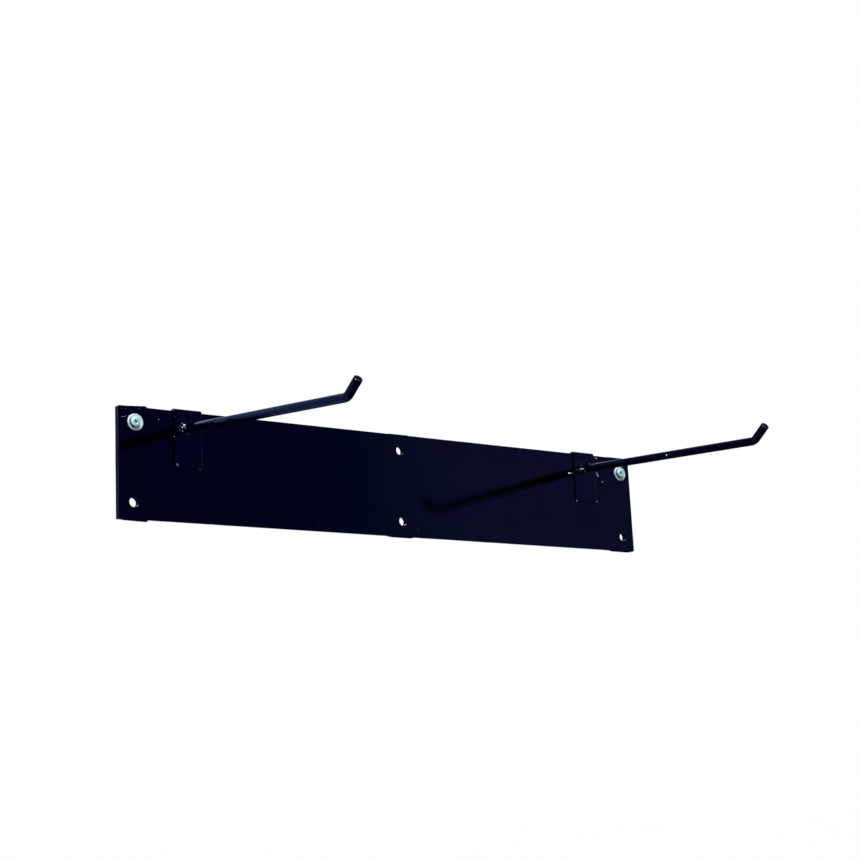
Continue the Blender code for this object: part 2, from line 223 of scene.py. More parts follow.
# ---------------------------------------------------------------- materials
def enamel(name, deep, light, seed, painted_sheen=True):
    """Brushed-on dark navy enamel over mill steel: uneven tone, orange peel, nibs, rubbed edges,
    and a painted sheen that grows lighter and greyer toward the rack's right half, standing in for the key light's
    broad reflection."""
    material = new_material(name)
    n = Nodes(material)
    spot = n.place()
    here = n.vec("ADD", spot, (seed, seed * 0.7, seed * 1.3))
    # slow change of tone, and faint runs down the face
    broad = n.noise(here, 9.0, 3.0, 0.55)
    streak = n.noise(n.stretch(here, (60.0, 60.0, 4.0)), 1.0, 3.0, 0.6)
    tone = n.math("ADD", n.math("MULTIPLY", broad, 0.65), n.math("MULTIPLY", streak, 0.35))
    color = n.mix(n.span(tone, 0.35, 0.65), deep, light)
    # fine grain of the dried film
    grain = n.noise(here, 900.0, 2.0, 0.6)
    color = n.mix(
        n.span(grain, 0.62, 0.74, 0.0, 0.18), color, tuple(1.8 * c + 0.0012 for c in light)
    )
    # painted sheen: toward the right half the base colour turns lighter and greyer, standing in for the key light's
    # broad reflection in the paint
    if painted_sheen:
        along = n.add("ShaderNodeSeparateXYZ", {"Vector": spot}, out="X")
        drift = n.math("MULTIPLY", n.math("SUBTRACT", n.noise(here, 11.0, 3.0, 0.6), 0.5), 0.09)
        far = n.math("ADD", along, drift)
        green = n.span(far, -0.150, -0.030)
        grey = n.span(far, -0.060, 0.075)
        cloud = n.span(n.noise(here, 26.0, 5.0, 0.62, 0.3), 0.25, 0.75, 0.72, 1.0)
        color = n.mix(
            n.math("MULTIPLY", n.math("MULTIPLY", green, cloud), 0.50), color, (0.0016, 0.0090, 0.0290)
        )
        color = n.mix(
            n.math("MULTIPLY", n.math("MULTIPLY", grey, cloud), 0.62), color, (0.0090, 0.0098, 0.0440)
        )
    # tiny chips down to grey primer
    cell = n.add(
        "ShaderNodeTexVoronoi",
        {"Vector": here, "Scale": 42.0, "Randomness": 1.0},
        out="Distance",
    )
    pick = n.add(
        "ShaderNodeTexVoronoi",
        {"Vector": here, "Scale": 42.0, "Randomness": 1.0},
        out="Color",
    )
    chosen = n.span(n.vec("DOT_PRODUCT", pick, (0.5, 0.3, 0.2), out="Value"), 0.845, 0.855)
    ragged = n.math("ADD", cell, n.math("MULTIPLY", n.noise(here, 1400.0, 3.0, 0.7), 0.02))
    chip = n.math("MULTIPLY", n.span(ragged, 0.026, 0.019), chosen)
    color = n.mix(n.math("MULTIPLY", chip, 0.7), color, (0.030, 0.034, 0.048))
    # hairline scratches
    hair = n.noise(n.stretch(n.vec("ADD", here, (0.3, 0.1, 0.2)), (30.0, 30.0, 340.0)), 1.0, 2.0, 0.5, 1.2)
    hair = n.span(n.math("ABSOLUTE", n.math("SUBTRACT", hair, 0.5)), 0.0025, 0.0)
    patch = n.span(n.noise(here, 14.0, 2.0), 0.60, 0.70)
    hair = n.math("MULTIPLY", n.math("MULTIPLY", hair, patch), 0.25)
    color = n.mix(hair, color, (0.020, 0.024, 0.040))
    # rubbed and bare colours follow the stored value: real rubbing, and on the saddles' right edges and round the
    # holes a painted highlight
    wear_and_painted_light = n.add("ShaderNodeAttribute", attribute_name="wear_and_painted_light", out="Fac")
    scuffed = n.math("ADD", wear_and_painted_light, n.math("MULTIPLY", n.math("SUBTRACT", n.noise(here, 260.0, 5.0, 0.7), 0.5), 0.9))
    rubbed = n.span(scuffed, 0.62, 0.92)
    bare = n.span(scuffed, 0.92, 1.12)
    color = n.mix(n.math("MULTIPLY", rubbed, 0.75), color, (0.052, 0.052, 0.074))
    color = n.mix(bare, color, (0.34, 0.37, 0.43))
    rough = n.span(n.noise(here, 120.0, 3.0, 0.6), 0.3, 0.7, 0.045, 0.075)
    rough = n.math("ADD", rough, n.math("MULTIPLY", chip, 0.35))
    rough = n.math("ADD", rough, n.math("MULTIPLY", hair, 0.3))
    rough = n.math("ADD", rough, n.math("MULTIPLY", rubbed, 0.25))
    peel = n.noise(here, 330.0, 2.0, 0.5)
    waves = n.noise(here, 55.0, 2.0, 0.5)
    normal = n.bump(waves, 0.00012, 0.20)
    normal = n.bump(peel, 0.00002, 0.40, normal)
    normal = n.bump(n.math("MULTIPLY", n.math("ADD", chip, hair), -1.0), 0.00010, 0.6, normal)
    n.finish(
        Base_Color=color,
        Roughness=rough,
        Metallic=n.math("MULTIPLY", bare, 0.6),
        IOR=1.5,
        Normal=normal,
    )
    return material


def weld_metal(name, deep, light, seed):
    """The same enamel over rough weld metal, thinner on its crests, with a burnt edge."""
    material = new_material(name)
    n = Nodes(material)
    here = n.vec("ADD", n.place(), (seed, seed, seed))
    lumps = n.noise(here, 420.0, 4.0, 0.6)
    color = n.mix(n.span(lumps, 0.3, 0.7), deep, light)
    wear_and_painted_light = n.add("ShaderNodeAttribute", attribute_name="wear_and_painted_light", out="Fac")
    crest = n.span(n.math("ADD", wear_and_painted_light, n.math("MULTIPLY", n.math("SUBTRACT", lumps, 0.5), 1.3)), 0.55, 1.0)
    color = n.mix(n.math("MULTIPLY", crest, 0.5), color, (0.06, 0.065, 0.10))
    soot = n.span(n.noise(here, 150.0, 5.0, 0.7), 0.55, 0.75)
    color = n.mix(n.math("MULTIPLY", soot, 0.5), color, (0.0015, 0.0015, 0.006))
    rough = n.span(n.noise(here, 700.0, 3.0, 0.6), 0.3, 0.7, 0.07, 0.20)
    normal = n.bump(lumps, 0.00025, 0.6)
    normal = n.bump(n.noise(here, 1800.0, 2.0, 0.5), 0.00004, 0.5, normal)
    n.finish(
        Base_Color=color,
        Roughness=rough,
        Metallic=n.math("MULTIPLY", crest, 0.5),
        IOR=1.5,
        Normal=normal,
    )
    return material


def zinc(name, seed, deep, light, turned=True):
    """Bright zinc plating with a faint blue-green passivation, turning marks and handling scuffs."""
    material = new_material(name)
    n = Nodes(material)
    here = n.place()
    moved = n.vec("ADD", here, (seed, seed * 0.3, seed * 0.6))
    bloom = n.noise(moved, 300.0, 4.0, 0.6)
    color = n.mix(n.span(bloom, 0.35, 0.68), deep, light)
    film = n.noise(moved, 140.0, 2.0, 0.5)
    color = n.mix(n.span(film, 0.52, 0.68, 0.0, 0.22), color, (0.34, 0.70, 0.76))
    stain = n.span(n.noise(moved, 950.0, 4.0, 0.7), 0.63, 0.75)
    color = n.mix(n.math("MULTIPLY", stain, 0.35), color, (0.16, 0.22, 0.23))
    # painted shade: dark dull teal where the head stands on the washer, on the head's side wall and down in the
    # recess
    painted_shade = n.add("ShaderNodeAttribute", attribute_name="wear_and_painted_light", out="Fac")
    painted_shade = n.span(n.math("ADD", painted_shade, n.math("MULTIPLY", n.math("SUBTRACT", bloom, 0.5), 0.5)), 0.35, 0.75)
    color = n.mix(n.math("MULTIPLY", painted_shade, 0.92), color, (0.012, 0.170, 0.200))
    # crystals of the plating
    spangle = n.add(
        "ShaderNodeTexVoronoi", {"Vector": moved, "Scale": 1500.0}, out="Color"
    )
    flake = n.vec("DOT_PRODUCT", spangle, (0.33, 0.33, 0.33), out="Value")
    rough = n.span(flake, 0.2, 0.8, 0.58, 0.70)
    rough = n.math("ADD", rough, n.math("MULTIPLY", stain, 0.1))
    height = n.noise(moved, 700.0, 3.0, 0.6)
    normal = n.bump(height, 0.00005, 0.4)
    if turned:
        # rings round the piece's own axis, along Y
        flat = n.vec("MULTIPLY", here, (1.0, 0.0, 1.0))
        radius = n.vec("LENGTH", flat, out="Value")
        rings = n.math("SINE", n.math("MULTIPLY", radius, 24000.0))
        normal = n.bump(rings, 0.000006, 0.35, normal)
    n.finish(
        Base_Color=color,
        Roughness=rough,
        Metallic=n.math("MULTIPLY", n.math("SUBTRACT", 1.0, painted_shade), 0.62),
        IOR=1.6,
        Normal=normal,
    )
    return material


NAVY_DEEP, NAVY_LIGHT = (0.0004, 0.0005, 0.0165), (0.0007, 0.0008, 0.0235)
HOOK_DEEP, HOOK_LIGHT = (0.0005, 0.0007, 0.0180), (0.0009, 0.0014, 0.0270)
RAIL_PAINT = enamel("rail_enamel", NAVY_DEEP, NAVY_LIGHT, 3.1)
SPACER_PAINT = enamel("spacer_enamel", NAVY_DEEP, NAVY_LIGHT, 7.7)
SADDLE_PAINT = enamel("saddle_enamel", HOOK_DEEP, HOOK_LIGHT, 5.3)
ARM_PAINT = enamel("arm_enamel", HOOK_DEEP, HOOK_LIGHT, 9.6, painted_sheen=False)
BEAD_PAINT = weld_metal("bead_enamel", NAVY_DEEP, NAVY_LIGHT, 1.9)
ARM_WELD_PAINT = weld_metal("arm_weld_enamel", HOOK_DEEP, HOOK_LIGHT, 8.3)
SCREW_ZINC = zinc("screw_zinc", 2.2, (0.46, 0.84, 0.86), (0.68, 0.98, 0.98))
WASHER_ZINC = zinc("washer_zinc", 6.4, (0.66, 0.84, 0.94), (0.86, 0.95, 1.0))


def dull_end(name, seed):
    """A sawn rod end under one dry coat of enamel: saw lines, matt, rubbed to grey at its rim."""
    material = new_material(name)
    n = Nodes(material)
    here = n.place()
    moved = n.vec("ADD", here, (seed, seed * 0.4, seed * 0.9))
    saw = n.noise(n.stretch(moved, (90.0, 90.0, 2600.0)), 1.0, 3.0, 0.6)
    color = n.mix(n.span(saw, 0.35, 0.65), (0.0012, 0.0020, 0.0150), (0.0060, 0.0085, 0.0280))
    wear_and_painted_light = n.add("ShaderNodeAttribute", attribute_name="wear_and_painted_light", out="Fac")
    scuffed = n.math("ADD", wear_and_painted_light, n.math("MULTIPLY", n.math("SUBTRACT", n.noise(moved, 700.0, 4.0, 0.7), 0.5), 0.8))
    color = n.mix(n.span(scuffed, 0.55, 0.80), color, (0.050, 0.056, 0.080))
    color = n.mix(n.span(scuffed, 0.92, 1.10), color, (0.36, 0.39, 0.45))
    rough = n.span(n.noise(moved, 900.0, 3.0, 0.6), 0.3, 0.7, 0.58, 0.74)
    n.finish(
        Base_Color=color,
        Roughness=rough,
        Metallic=0.0,
        IOR=1.18,
        Normal=n.bump(saw, 0.00004, 0.5),
    )
    return material


ARM_END = dull_end("arm_end_enamel", 3.7)


def spatter_metal(name):
    """Drops of spatter and scrapes where bare steel shows through."""
    material = new_material(name)
    n = Nodes(material)
    here = n.place()
    skin_noise = n.noise(here, 1500.0, 4.0, 0.65)
    color = n.mix(n.span(skin_noise, 0.33, 0.52), (0.14, 0.15, 0.22), (0.84, 0.88, 0.98))
    rough = n.span(n.noise(here, 2200.0, 2.0, 0.5), 0.3, 0.7, 0.16, 0.34)
    n.finish(
        Base_Color=color,
        Roughness=rough,
        Metallic=0.80,
        IOR=1.5,
        Normal=n.bump(skin_noise, 0.00012, 0.5),
    )
    return material


SPATTER = spatter_metal("spatter_steel")


def scraped_metal(name):
    """Flattened drops and knocks on the rail's face, pale bare metal with dark pits."""
    material = new_material(name)
    n = Nodes(material)
    here = n.place()
    pit = n.noise(here, 1300.0, 4.0, 0.65)
    color = n.mix(n.span(pit, 0.36, 0.58), (0.14, 0.15, 0.22), (0.88, 0.92, 1.0))
    rough = n.span(n.noise(here, 2100.0, 2.0, 0.5), 0.3, 0.7, 0.20, 0.40)
    n.finish(
        Base_Color=color, Roughness=rough, Metallic=0.15, IOR=1.6, Normal=n.bump(pit, 0.00008, 0.5)
    )
    return material


SCRAPED = scraped_metal("scraped_steel")


def cut_edge(name, thin, rust, seed):
    """Sawn ends and drilled walls, where the paint is thin, dull and patchy over dark steel."""
    material = new_material(name)
    n = Nodes(material)
    here = n.vec("ADD", n.place(), (seed, seed * 0.4, seed * 0.8))
    blotch = n.noise(n.stretch(here, (1.0, 1.0, 0.45)), 780.0, 4.0, 0.62)
    color = n.mix(n.span(blotch, 0.42, 0.62), thin, rust)
    fleck = n.span(n.noise(n.vec("ADD", here, (2.0, 1.0, 0.0)), 1300.0, 3.0, 0.6), 0.64, 0.74)
    color = n.mix(n.math("MULTIPLY", fleck, 0.55), color, (0.30, 0.27, 0.36))
    # pale bare steel where the stored value is high: real scrapes on the sawn ends, and on the drilled walls the
    # painted highlight crescent
    wear_and_painted_light = n.add("ShaderNodeAttribute", attribute_name="wear_and_painted_light", out="Fac")
    scrape_and_highlight = n.span(
        n.math("ADD", wear_and_painted_light, n.math("MULTIPLY", n.math("SUBTRACT", blotch, 0.5), 0.9)), 0.72, 0.95
    )
    color = n.mix(scrape_and_highlight, color, (0.46, 0.50, 0.58))
    grooves = n.noise(n.stretch(here, (1.0, 1.0, 0.08)), 2600.0, 2.0, 0.5)
    rough = n.span(blotch, 0.35, 0.65, 0.30, 0.48)
    normal = n.bump(grooves, 0.00005, 0.4)
    normal = n.bump(blotch, 0.00010, 0.5, normal)
    n.finish(
        Base_Color=color,
        Roughness=rough,
        Metallic=n.math("MULTIPLY", scrape_and_highlight, 0.5),
        IOR=1.25,
        Normal=normal,
    )
    return material


SAWN_END = cut_edge("sawn_end", (0.022, 0.010, 0.065), (0.150, 0.045, 0.200), 4.2)
DRILLED_WALL = cut_edge("drilled_wall", (0.0006, 0.0007, 0.010), (0.004, 0.004, 0.022), 6.1)


# ---------------------------------------------------------------- mesh helpers
def finish_mesh(bm, name, material, location=None, sharp=35.0):
    bmesh.ops.recalc_face_normals(bm, faces=bm.faces[:])
    mesh = bpy.data.meshes.new(name)
    bm.to_mesh(mesh)
    bm.free()
    mesh.materials.append(material)
    mesh.shade_smooth()
    if sharp:
        mesh.set_sharp_from_angle(angle=math.radians(sharp))
    obj = bpy.data.objects.new(name, mesh)
    SCENE.collection.objects.link(obj)
    if location is not None:
        obj.location = location
    return obj


def rides(obj, body, slot_name, *nodes):
    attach(obj, body)
    if nodes:
        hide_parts(*nodes)
    return obj


def bake(obj):
    """Applies an object's modifiers to its mesh."""
    bpy.context.view_layer.update()
    graph = bpy.context.evaluated_depsgraph_get()
    made = bpy.data.meshes.new_from_object(obj.evaluated_get(graph))
    made.name = obj.name
    old = obj.data
    obj.modifiers.clear()
    obj.data = made
    if old.users == 0:
        bpy.data.meshes.remove(old)
    return obj


def store_wear_and_painted_light(obj, function):
    """Stores a value from 0 to 1 for each point, for the paint to read: how rubbed it is, and on the zinc pieces
    painted shade, on the saddles' right edges and round the holes a painted highlight.
    """
    attribute = obj.data.attributes.new("wear_and_painted_light", "FLOAT", "POINT")
    attribute.data.foreach_set(
        "value", [max(0.0, min(1.0, function(v.co))) for v in obj.data.vertices]
    )
    return obj


def skin(rings, cap=True, wrap=False):
    bm = bmesh.new()
    made = [[bm.verts.new(p) for p in ring] for ring in rings]
    count = len(made[0])
    pairs = list(zip(made, made[1:]))
    if wrap:
        pairs.append((made[-1], made[0]))
    for one, two in pairs:
        for i in range(count):
            j = (i + 1) % count
            bm.faces.new((one[i], one[j], two[j], two[i]))
    if cap and not wrap:
        bm.faces.new(made[0])
        bm.faces.new(list(reversed(made[-1])))
    return bm


def arc(centre, radius, start, end, steps):
    return [
        (
            centre[0] + radius * math.cos(start + (end - start) * i / steps),
            centre[1] + radius * math.sin(start + (end - start) * i / steps),
        )
        for i in range(steps + 1)
    ]


def ripple(point, scale, seed):
    return noise.noise(Vector(point) * scale + Vector((seed, seed * 1.7, seed * 0.3)))


# ---------------------------------------------------------------- flat bars
HOLE_R = 4.75 * MM
HOLE_X = 285.5 * MM
HOLE_TOP, HOLE_BOTTOM = 34.5 * MM, -35.0 * MM


def bar_outline(low, high, corner, seed):
    """A sheared bar's outline: corners knocked round by hand, edges a hair uneven."""
    rng = random.Random(seed)
    points = []
    corners = ((high.x, high.z), (low.x, high.z), (low.x, low.z), (high.x, low.z))
    for k, (x, z) in enumerate(corners):
        radius = corner * (0.75 + 0.5 * rng.random())
        sx, sz = (1, 1, -1, -1)[(k + 1) % 4] * 1.0, (1, 1, -1, -1)[k]
        sx = 1.0 if k in (0, 3) else -1.0
        sz = 1.0 if k in (0, 1) else -1.0
        start = {(1, 1): 0.0, (-1, 1): 0.5, (-1, -1): 1.0, (1, -1): 1.5}[(sx, sz)] * math.pi
        points += arc((x - sx * radius, z - sz * radius), radius, start, start + math.pi / 2, 8)
    # points along the long edges, so that they can be uneven
    dense = []
    for i, a in enumerate(points):
        b = points[(i + 1) % len(points)]
        dense.append(a)
        gap = math.dist(a, b)
        steps = int(gap / 0.004)
        for s in range(1, steps):
            t = s / steps
            x, z = a[0] + (b[0] - a[0]) * t, a[1] + (b[1] - a[1]) * t
            ease = min(1.0, s / 4, (steps - s) / 4)
            dx = 0.00008 * ripple((x, 0, z), 60.0, seed) * ease
            if abs(b[0] - a[0]) > abs(b[1] - a[1]):
                z += dx
            else:
                x += dx
            dense.append((x, z))
    return dense


def flat_bar(name, node, outline_corner, holes, bevel, seed, material):
    """A drilled flat bar in the CAD node's own box, with rounded arrises inside and out."""
    low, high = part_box(node)
    curve = bpy.data.curves.new(name, "CURVE")
    curve.dimensions = "2D"
    curve.fill_mode = "BOTH"
    loops = [bar_outline(low, high, outline_corner, seed)]
    for hx, hz in holes:
        loops.append(
            [
                (
                    hx + (HOLE_R - 1.2 * bevel) * math.cos(-2 * math.pi * i / 64),
                    hz + (HOLE_R - 1.2 * bevel) * math.sin(-2 * math.pi * i / 64),
                )
                for i in range(64)
            ]
        )
    for loop in loops:
        spline = curve.splines.new("POLY")
        spline.points.add(len(loop) - 1)
        spline.use_cyclic_u = True
        for point, (x, z) in zip(spline.points, loop):
            point.co = (x, z, 0.0, 1.0)
    thickness = high.y - low.y
    curve.bevel_depth = bevel
    curve.bevel_resolution = 3
    curve.offset = -bevel
    curve.extrude = thickness / 2 - bevel
    obj = bpy.data.objects.new(name, curve)
    SCENE.collection.objects.link(obj)
    bpy.context.view_layer.update()
    graph = bpy.context.evaluated_depsgraph_get()
    mesh = bpy.data.meshes.new_from_object(obj.evaluated_get(graph))
    bpy.data.objects.remove(obj)
    # the curve lies in XY: stand it up in XZ
    stand = Matrix(
        ((1, 0, 0, 0), (0, 0, -1, (low.y + high.y) / 2), (0, 1, 0, 0), (0, 0, 0, 1))
    )
    mesh.transform(stand)
    bm = bmesh.new()
    bm.from_mesh(mesh)
    bpy.data.meshes.remove(mesh)
    bmesh.ops.remove_doubles(bm, verts=bm.verts[:], dist=1e-6)
    obj = finish_mesh(bm, name, material, sharp=30.0)
    # the big faces stay dead flat: their borders are sharp, so the arris doesn't bleed into them
    mesh = obj.data
    flat = [abs(abs(p.normal.y) - 1.0) < 1e-5 for p in mesh.polygons]
    beside = {}
    for polygon in mesh.polygons:
        for key in polygon.edge_keys:
            beside.setdefault(key, []).append(flat[polygon.index])
    sharp = mesh.attributes.get("sharp_edge") or mesh.attributes.new("sharp_edge", "BOOLEAN", "EDGE")
    for edge in mesh.edges:
        sides = beside.get(tuple(sorted(edge.vertices)), [])
        if True in sides and False in sides:
            sharp.data[edge.index].value = True
    # ends and drilled walls are duller than the faces
    mesh.materials.append(SAWN_END)
    mesh.materials.append(DRILLED_WALL)
    for polygon in mesh.polygons:
        if flat[polygon.index]:
            continue
        x, z = polygon.center.x, polygon.center.z
        reach = min([math.hypot(x - hx, z - hz) for hx, hz in holes])
        if reach < HOLE_R + 0.1 * bevel and abs(polygon.normal.y) < 0.5:
            polygon.material_index = 2
        elif reach > 2 * HOLE_R and abs(polygon.normal.x) > 0.9:
            polygon.material_index = 1

    def wear_and_painted_light(co):
        if min(abs(co.y - low.y), abs(co.y - high.y)) < 2e-6:
            return 0.0
        edge = min(
            high.x - co.x, co.x - low.x, high.z - co.z, co.z - low.z
        )
        ring = min(
            [abs(math.hypot(co.x - hx, co.z - hz) - HOLE_R) for hx, hz in holes] or [1.0]
        )
        face = min(abs(co.y - low.y), abs(co.y - high.y))
        rim = 0.50 * math.exp(-((edge / 0.0006) ** 2)) * (1 if face < bevel * 1.1 else 0.7)
        if ring > 0.0006:
            return rim
        # painted highlight: a pale crescent at the lower right of each hole's wall stands in for light falling on
        # that part of the wall
        hx, hz = min(holes, key=lambda h: math.hypot(co.x - h[0], co.z - h[1]))
        angle = math.atan2(co.z - hz, co.x - hx)
        scrape_and_highlight = max(0.0, math.cos(angle + 0.75)) ** 8
        return 0.24 + 0.66 * scrape_and_highlight

    return store_wear_and_painted_light(obj, wear_and_painted_light)


rail = flat_bar(
    "rail_bar",
    "rail_plate",
    1.3 * MM,
    [(x, z) for x in (-HOLE_X, 0.0, HOLE_X) for z in (HOLE_TOP, HOLE_BOTTOM)],
    0.25 * MM,
    11,
    RAIL_PAINT,
)
rides(rail, "rack", "rail_paint", "rail_plate")

for column, x, seed in (("left", -HOLE_X, 21), ("centre", 0.0, 22), ("right", HOLE_X, 23)):
    spacer = flat_bar(
        f"{column}_spacer_bar",
        f"{column}_spacer",
        0.9 * MM,
        [(x, HOLE_TOP), (x, HOLE_BOTTOM)],
        0.25 * MM,
        seed,
        SPACER_PAINT,
    )
    rides(spacer, "rack", "rail_paint", f"{column}_spacer")


# ---------------------------------------------------------------- weld beads on the rail's edges
def weld_bead(name, node, side, seed, height_scale=1.0, start=1.0, extra=0.0):
    """A hand-laid bead over the seam: overlapping pools with curved ripples, lumpy, tapering at its ends."""
    low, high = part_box(node)
    length = high.x - low.x + extra
    middle_y = (low.y + high.y) / 2
    base = low.z if side > 0 else high.z
    half = (high.y - low.y) / 2
    tall = (high.z - low.z) * height_scale
    sink = 0.55 * MM
    stations, around = 150, 22
    rings = []
    for i in range(stations + 1):
        t = i / stations
        end = math.sqrt(max(0.0, 1 - abs(2 * t - 1) ** 22))
        ring = []
        for k in range(around + 1):
            phi = math.pi * k / around
            across = -math.cos(phi)
            # ripples trail back in the middle of the pool
            shift = 0.9 * MM * (1 - across * across)
            phase = (t * length + shift + 0.35 * MM * ripple((t * 9, across, 0), 1.0, seed)) / (1.55 * MM)
            saw = phase - math.floor(phase)
            dime = 0.10 * (1 - saw) ** 1.5
            pool = 0.14 * ripple((t * length * 1000 / 5.0, across * 0.4, 0), 1.0, seed + 5)
            lump = 0.10 * ripple((t * length * 1000 / 1.6, across * 1.5, 0), 1.0, seed + 9)
            ramp = min(1.0, start + (1 - start) * max(0.0, t - 0.10) / 0.80)
            scale = max(0.12, end) * (0.86 + dime + pool + lump) * ramp
            width = half * (0.9 + 0.18 * ripple((t * length * 1000 / 4.0, 2.0, 0), 1.0, seed + 2)) * max(0.2, end) ** 0.5
            ring.append(
                Vector(
                    (
                        low.x + t * length,
                        middle_y + across * width,
                        base + side * (tall * scale * math.sin(phi) ** 0.8),
                    )
                )
            )
        # a flat underside, sunk into the seam
        ring.append(Vector((low.x + t * length, ring[-1].y, base - side * sink)))
        ring.append(Vector((low.x + t * length, ring[0].y, base - side * sink)))
        rings.append(ring)
    obj = finish_mesh(skin(rings), name, BEAD_PAINT, sharp=60.0)
    return store_wear_and_painted_light(
        obj, lambda co: 0.75 * max(0.0, side * (co.z - base) / tall) ** 2
    )


BEADS = (
    ("left", "top", 1.0, 31, 1.35, 0.10, 0.3 * MM),
    ("left", "bottom", -1.0, 32, 0.85, 0.55, 0.0),
    ("centre", "top", 1.0, 33, 0.45, 1.0, 0.0),
    ("centre", "bottom", -1.0, 34, 0.28, 1.0, 0.0),
    ("right", "top", 1.0, 35, 0.45, 1.0, 0.0),
    ("right", "bottom", -1.0, 36, 0.42, 0.8, 0.0),
)
for column, row, side, seed, tall, start, extra in BEADS:
    bead = weld_bead(f"{column}_{row}_bead", f"{column}_{row}_weld", side, seed, tall, start, extra)
    rides(bead, "rack", "rail_paint", f"{column}_{row}_weld")


# ---------------------------------------------------------------- washers and screws
def turned(profile, steps, wobble=None):
    """A body of revolution round Y, from (radius, y) pairs that run from axis to axis, or round a ring."""
    bm = bmesh.new()
    rings = []
    for radius, y in profile:
        if radius <= 1e-9:
            rings.append([bm.verts.new((0, y, 0))])
            continue
        ring = []
        for i in range(steps):
            angle = 2 * math.pi * i / steps
            r = radius * (1 + (wobble(angle, radius, y) if wobble else 0.0))
            ring.append(bm.verts.new((r * math.cos(angle), y, r * math.sin(angle))))
        rings.append(ring)
    pairs = list(zip(rings, rings[1:]))
    if profile[0][0] > 0:
        pairs.append((rings[-1], rings[0]))
    for one, two in pairs:
        for i in range(steps):
            j = (i + 1) % steps
            if len(one) == 1:
                bm.faces.new((one[0], two[j], two[i]))
            elif len(two) == 1:
                bm.faces.new((one[i], one[j], two[0]))
            else:
                bm.faces.new((one[i], one[j], two[j], two[i]))
    return bm


def washer(name, node, seed):
    """A stamped washer: rolled-over front edge, sharp burr behind, slightly dished by the screw."""
    low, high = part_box(node)
    centre = Vector(((low.x + high.x) / 2, 0, (low.z + high.z) / 2))
    outer, bore = (high.x - low.x) / 2 - 0.15 * MM, 3.3 * MM
    back, front = high.y + 0.28 * MM, low.y
    profile = [(bore, back), (outer - 0.05 * MM, back)]
    profile += arc((outer - 0.12 * MM, back - 0.14 * MM), 0.12 * MM, math.pi / 2, 0.0, 3)
    profile += arc((outer - 0.42 * MM, front + 0.42 * MM), 0.42 * MM, 0.0, -math.pi / 2, 7)
    for i in range(1, 7):
        t = i / 7
        r = outer - 0.42 * MM + (bore + 0.35 * MM - outer + 0.42 * MM) * t
        profile.append((r, front + 0.12 * MM * t * t))
    profile += arc((bore + 0.25 * MM, front + 0.37 * MM), 0.25 * MM, -math.pi / 2, -math.pi, 4)
    obj = finish_mesh(
        turned(profile, 96, lambda a, r, y: 0.003 * math.sin(3 * a + seed)),
        name,
        WASHER_ZINC,
        centre,
        sharp=40.0,
    )
    # painted shade round the screw's head, darkest below and to its left, away from the key light
    head_low, head_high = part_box(node.replace("washer", "screw"))
    head_x, head_z = (head_low.x + head_high.x) / 2 - centre.x, (head_low.z + head_high.z) / 2 - centre.z
    head_r = (head_high.x - head_low.x) / 2

    def head_shade(co):
        x, z = co.x - head_x, co.z - head_z
        r = max(math.hypot(x, z), 1e-6)
        thick = 0.42 + 0.42 * (1 - (0.91 * x + 0.41 * z) / r)
        return thick * math.exp(-(((r - head_r - 0.1 * MM) / (0.55 * MM)) ** 2))

    return store_wear_and_painted_light(obj, head_shade)


def thread_shank(start_y, end_y, core, crest, pitch):
    """Rings of a coarse screw thread that starts under the head and runs out at the point."""
    rings, per_turn, around = [], 14, 40
    turns = (end_y - start_y) / pitch
    count = int(turns * per_turn)
    for i in range(count + 1):
        y = start_y + (end_y - start_y) * i / count
        left = end_y - y
        fade = min(1.0, (y - start_y) / (1.2 * pitch), left / (1.5 * pitch) + 0.15)
        point = min(1.0, 0.12 + 0.88 * (left / (6.0 * MM)) ** 0.8) if left < 6.0 * MM else 1.0
        ring = []
        for k in range(around):
            angle = 2 * math.pi * k / around
            phase = (y - start_y) / pitch - k / around
            phase -= math.floor(phase)
            tooth = max(0.0, 1 - abs(phase - 0.5) / 0.22)
            r = (core + (crest - core) * tooth * fade) * point
            ring.append((r, angle, y))
        rings.append(ring)
    return rings, around


